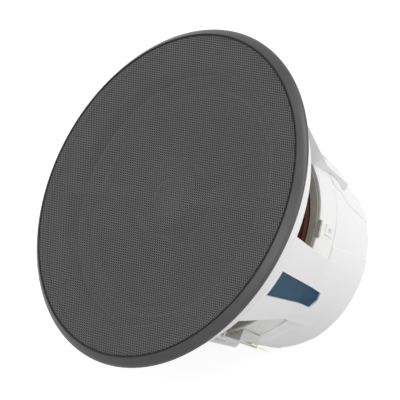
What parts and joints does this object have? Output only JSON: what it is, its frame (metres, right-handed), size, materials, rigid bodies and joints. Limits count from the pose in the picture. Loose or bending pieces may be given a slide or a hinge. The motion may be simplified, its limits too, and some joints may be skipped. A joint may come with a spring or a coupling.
{
  "type": "marine speaker",
  "caption": "Round flush-mount marine coaxial speaker with a domed perforated grille, dark trim ring, white four-arm basket and a closed magnet cover.",
  "frame": {"origin": "centre of the mounting flange's back face", "axes": "+Z along the speaker's axis towards the grille; the four windows lie on +X, -X, +Y and -Y, and the arms between them; the speaker stands on the magnet cover's flat rear face"},
  "size_m": [0.261, 0.261, 0.1623],
  "materials": {
    "grille": "dark grey powder coat on perforated sheet",
    "trim": "charcoal satin paint with fine metallic grain",
    "black_plastic": "black moulded plastic",
    "white_plastic": "white satin moulded plastic",
    "inlay": "slate blue moulded panel",
    "surround_rubber": "black butyl rubber",
    "cone_plastic": "dark polypropylene",
    "former": "amber polyimide on paper",
    "copper": "enamelled copper",
    "spider_cloth": "reddish-brown impregnated cloth",
    "beige_ring": "warm grey moulded plastic",
    "steel": "zinc-plated steel",
    "ferrite": "ground ferrite",
    "tweeter_metal": "satin metal dome",
    "grey_plastic": "light grey moulded plastic",
    "terminal_brass": "plated brass",
    "board": "green circuit board",
    "capacitor": "yellow film capacitor",
    "screw_steel": "stainless steel"
  },
  "bodies": {
    "frame": {"grille_mesh": "grille", "trim_ring": "trim", "clamp_ring": "black_plastic", "basket": "white_plastic", "arm_inlay_1": "inlay", "arm_inlay_2": "inlay", "arm_inlay_3": "inlay", "arm_inlay_4": "inlay", "surround": "surround_rubber", "spider": "spider_cloth", "spider_ring": "beige_ring", "top_plate": "steel", "magnet": "ferrite", "back_plate": "steel", "magnet_cover": "white_plastic", "tweeter_bridge": "black_plastic", "tweeter_faceplate": "black_plastic", "tweeter_dome": "tweeter_metal", "tweeter_magnet": "ferrite", "tweeter_plate": "steel", "terminal_block": "grey_plastic", "terminal_positive": "terminal_brass", "terminal_negative": "terminal_brass", "lead_positive": "copper", "lead_negative": "copper", "crossover_board": "board", "crossover_capacitor": "capacitor", "crossover_coil": "copper", "clamp_screws": "screw_steel", "spider_ring_screws": "screw_steel", "motor_screws": "screw_steel", "cover_screws": "screw_steel"},
    "cone_assembly": {"cone": "cone_plastic", "dust_cap": "cone_plastic", "coil_former": "former", "voice_coil": "copper"}
  },
  "joints": [
    {"name": "cone_travel", "type": "slide", "parent": "frame", "child": "cone_assembly", "axis": [0, 0, 1], "range_m": [-0.0035, 0.0035], "stiffness_N_per_m": 2500, "deforming": ["surround", "spider", "lead_positive", "lead_negative"]}
  ]
}
